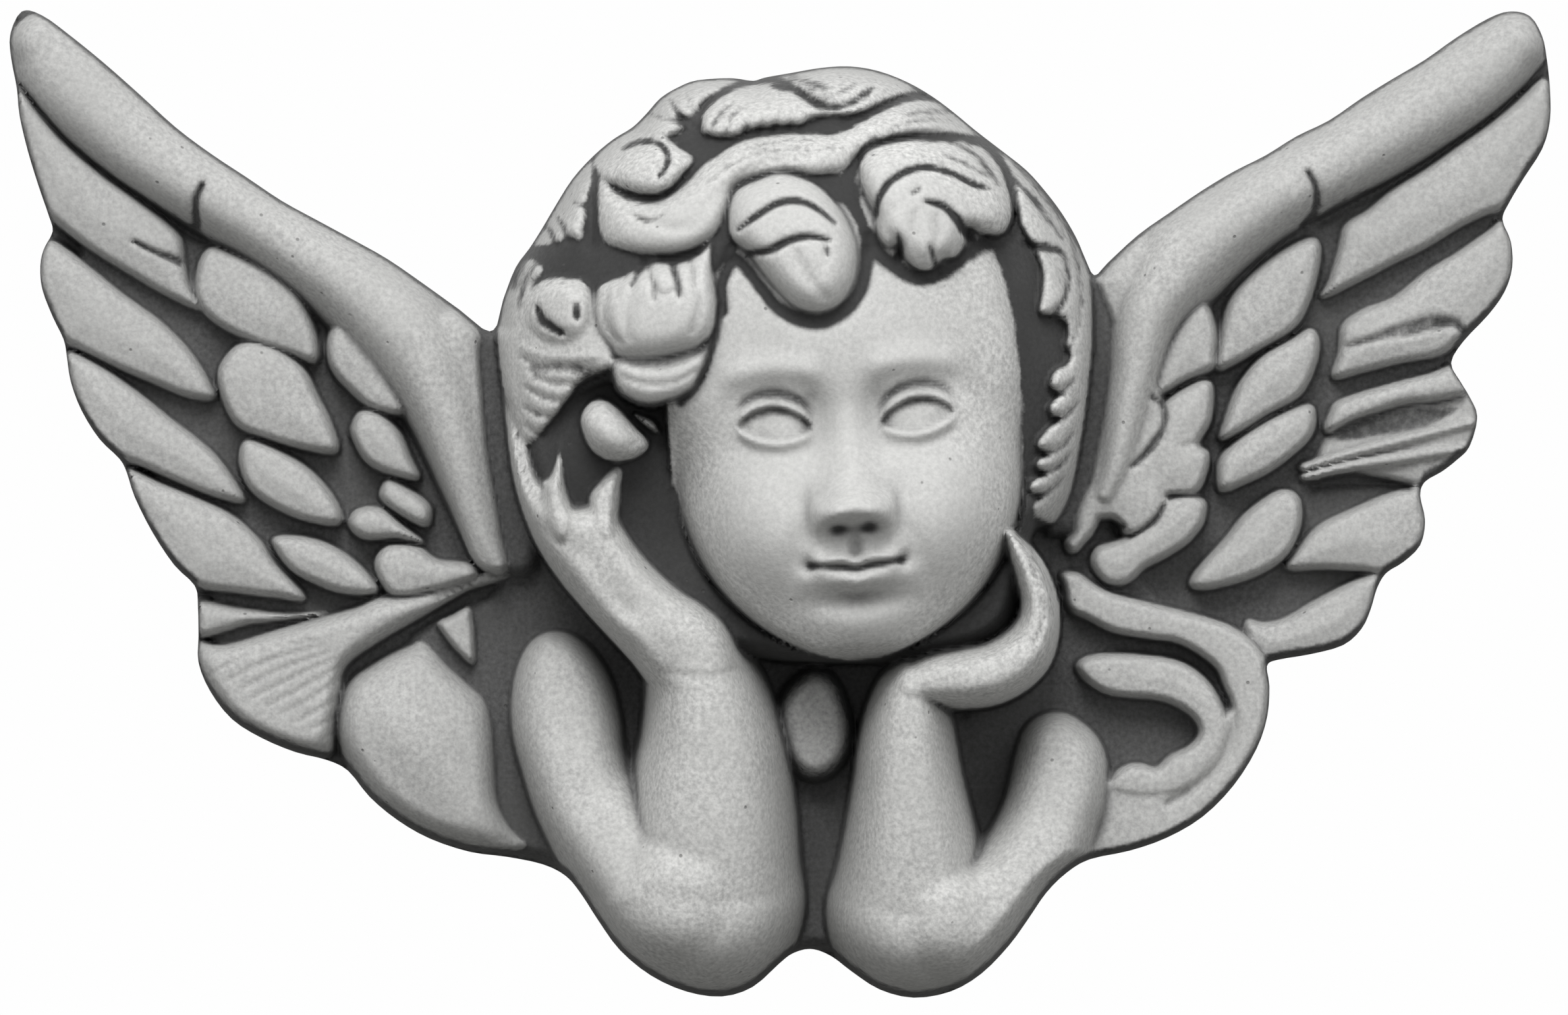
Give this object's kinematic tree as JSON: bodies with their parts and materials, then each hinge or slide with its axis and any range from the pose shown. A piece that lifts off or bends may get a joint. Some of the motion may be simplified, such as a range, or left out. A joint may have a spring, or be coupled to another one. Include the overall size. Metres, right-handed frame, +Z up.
{
  "type": "winged cherub wall relief",
  "caption": "Cast-concrete relief of a winged cherub resting its head on its hands, spread wings, curled hair, dark wash in the recesses, flat back.",
  "frame": {"origin": "on the flat back, midway between the wing tips and about midway between the tops of the wings and the lower elbow, where the back rests on a wall", "axes": "+X to the viewer's right along the wings, +Y into the wall, +Z up; the cherub looks along -Y"},
  "size_m": [0.4991, 0.1295, 0.3196],
  "materials": {
    "concrete": "sand-grained light grey cast concrete, a dark charcoal wash left in the recesses and wiped off the raised forms"
  },
  "bodies": {
    "root": {"angel_relief": "concrete"}
  },
  "joints": []
}
